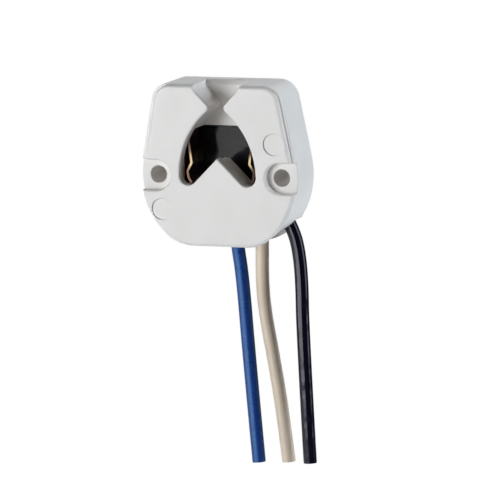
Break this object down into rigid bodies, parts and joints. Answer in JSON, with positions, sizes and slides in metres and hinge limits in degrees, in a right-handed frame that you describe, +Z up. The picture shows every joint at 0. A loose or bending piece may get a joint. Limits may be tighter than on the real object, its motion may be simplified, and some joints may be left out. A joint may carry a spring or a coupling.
{
  "type": "fluorescent tube lampholder",
  "caption": "Push-in lampholder for a two-pin fluorescent tube: a moulded housing with an arched pin entry, brass contacts and coloured leads.",
  "frame": {"origin": "midway between the screw holes, on the lamp's axis, in the plane of the screws' seats", "axes": "+X to the right seen from the front, +Y from the front face to the rear cover, +Z up to the pin entry"},
  "size_m": [0.0346, 0.0112, 0.0797],
  "materials": {
    "white_plastic": "satin moulded",
    "black_sheet": "glossy",
    "brass": "rolled strip",
    "copper": "bare copper",
    "blue_pvc": "smooth",
    "white_pvc": "smooth",
    "black_pvc": "smooth"
  },
  "bodies": {
    "root": {"front_housing": "white_plastic", "rear_cover": "white_plastic", "insulating_sheet": "black_sheet", "left_contact": "brass", "right_contact": "brass", "blue_lead": "blue_pvc", "white_lead": "white_pvc", "black_lead": "black_pvc", "blue_conductor": "copper", "white_conductor": "copper", "black_conductor": "copper"}
  },
  "joints": []
}
